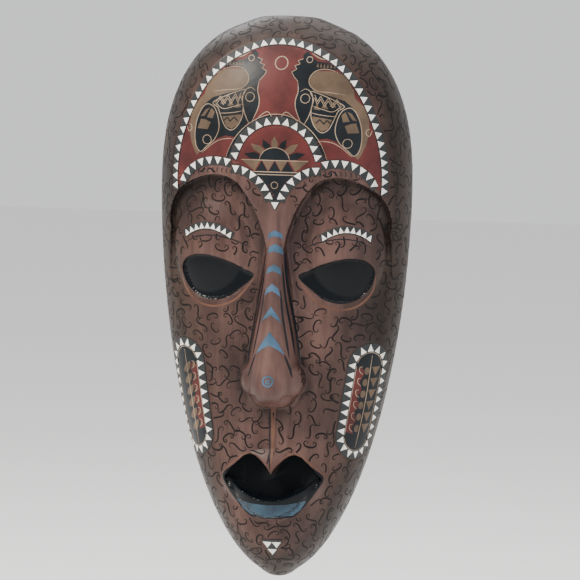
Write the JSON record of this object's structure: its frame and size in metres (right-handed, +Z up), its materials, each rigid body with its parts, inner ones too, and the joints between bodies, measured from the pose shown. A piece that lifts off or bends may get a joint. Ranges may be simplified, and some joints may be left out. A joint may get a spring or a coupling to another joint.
{
  "type": "carved wooden wall mask",
  "caption": "Long hollowed wall mask of carved wood with heavy-lidded eyes, shell chips set in black mastic, painted forehead panel and a swinging ring hanger behind.",
  "frame": {"origin": "the point on the wall plane, on the middle plane, that carries the raised hanger ring", "axes": "+Z up along the face, +X to the viewer's right seen from the front, -Y out of the face, +Y into the wall"},
  "size_m": [0.2262, 0.099, 0.496],
  "materials": {
    "carved_wood": "stained and satin varnished, painted black on eyes and lips",
    "mastic": "black resin mastic, satin",
    "shell": "cut and rubbed shell",
    "hanger_steel": "zinc-plated wire and strip",
    "screw_steel": "zinc-plated wood screws"
  },
  "bodies": {
    "mask": {"chin_bed": "mastic", "chin_shells": "shell", "forehead_arch_bed": "mastic", "forehead_arch_shells": "shell", "hanger_screws": "screw_steel", "hanger_strap": "hanger_steel", "left_brow_bed": "mastic", "left_brow_shells": "shell", "left_cheek_bed": "mastic", "left_cheek_shells": "shell", "left_eyelid_bed": "mastic", "left_eyelid_shells": "shell", "mask_body": "carved_wood", "medallion_arch_bed": "mastic", "medallion_arch_shells": "shell", "medallion_vee_bed": "mastic", "medallion_vee_shells": "shell", "right_brow_bed": "mastic", "right_brow_shells": "shell", "right_cheek_bed": "mastic", "right_cheek_shells": "shell", "right_eyelid_bed": "mastic", "right_eyelid_shells": "shell"},
    "ring": {"hanger_ring": "hanger_steel"}
  },
  "joints": [
    {"name": "ring_swing", "type": "hinge", "parent": "mask", "child": "ring", "pos_m": [0, -0.0032, -0.0108], "axis": [1, 0, 0], "range_deg": [0, 180]}
  ]
}
